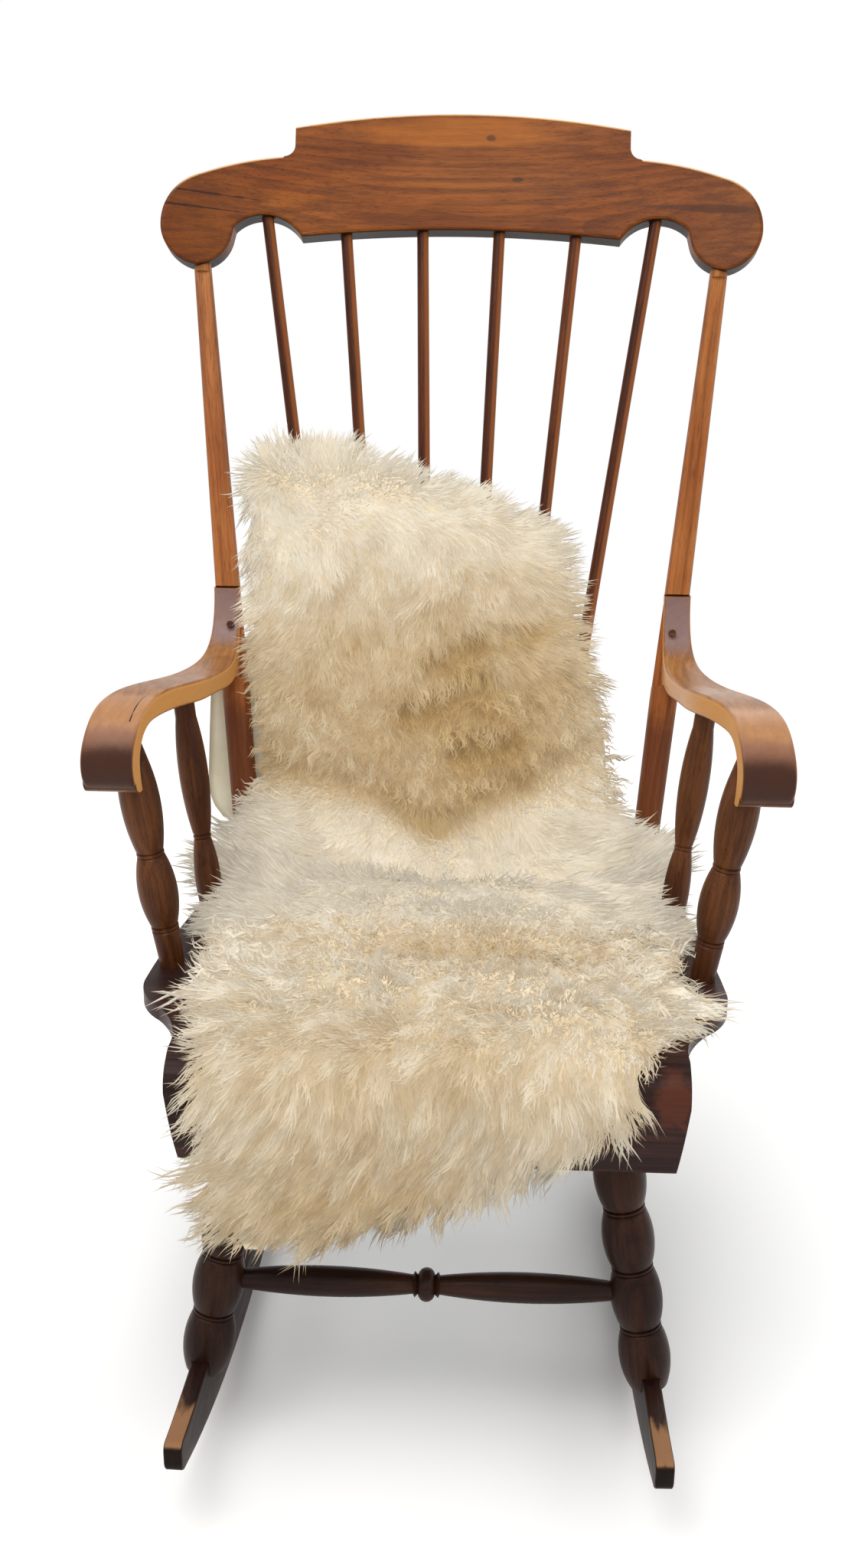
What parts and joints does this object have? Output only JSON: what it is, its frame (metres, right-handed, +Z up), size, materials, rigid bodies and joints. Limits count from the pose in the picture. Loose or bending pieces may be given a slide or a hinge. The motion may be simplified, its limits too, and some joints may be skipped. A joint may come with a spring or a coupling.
{
  "type": "rocking chair",
  "caption": "Wooden rocking chair with a shaped crest rail over plain back spindles, rolled arms on turned posts, turned legs on curved rockers and a sheepskin laid over the back and seat",
  "frame": {"origin": "on the floor, midway between the rockers, below the line where both of them touch it with the chair at rest", "axes": "+Z up; the sitter faces -Y; +X to the sitter's left, which is the viewer's right in a view of the front"},
  "size_m": [0.6142, 0.8286, 1.13],
  "materials": {
    "crest_wood": "satin",
    "post_wood": "satin",
    "spindle_wood": "satin",
    "arm_wood": "satin",
    "turned_wood": "satin",
    "dark_wood": "satin",
    "rocker_wood": "satin",
    "pin_wood": "matte",
    "fleece": "matte"
  },
  "bodies": {
    "root": {"seat_plank": "dark_wood", "seat_front_roll": "dark_wood", "crest_rail": "crest_wood", "back_post_left": "post_wood", "back_post_right": "post_wood", "back_spindle_1": "spindle_wood", "back_spindle_2": "spindle_wood", "back_spindle_3": "spindle_wood", "back_spindle_4": "spindle_wood", "back_spindle_5": "spindle_wood", "back_spindle_6": "spindle_wood", "arm_left": "arm_wood", "arm_right": "arm_wood", "arm_post_left": "turned_wood", "arm_post_right": "turned_wood", "arm_spindle_left": "turned_wood", "arm_spindle_right": "turned_wood", "front_leg_left": "turned_wood", "front_leg_right": "turned_wood", "rear_leg_left": "turned_wood", "rear_leg_right": "turned_wood", "front_stretcher": "turned_wood", "rear_stretcher": "turned_wood", "side_stretcher_left": "turned_wood", "side_stretcher_right": "turned_wood", "rocker_left": "rocker_wood", "rocker_right": "rocker_wood", "rocker_pins": "pin_wood", "arm_pins": "pin_wood", "sheepskin": "fleece"}
  },
  "joints": []
}
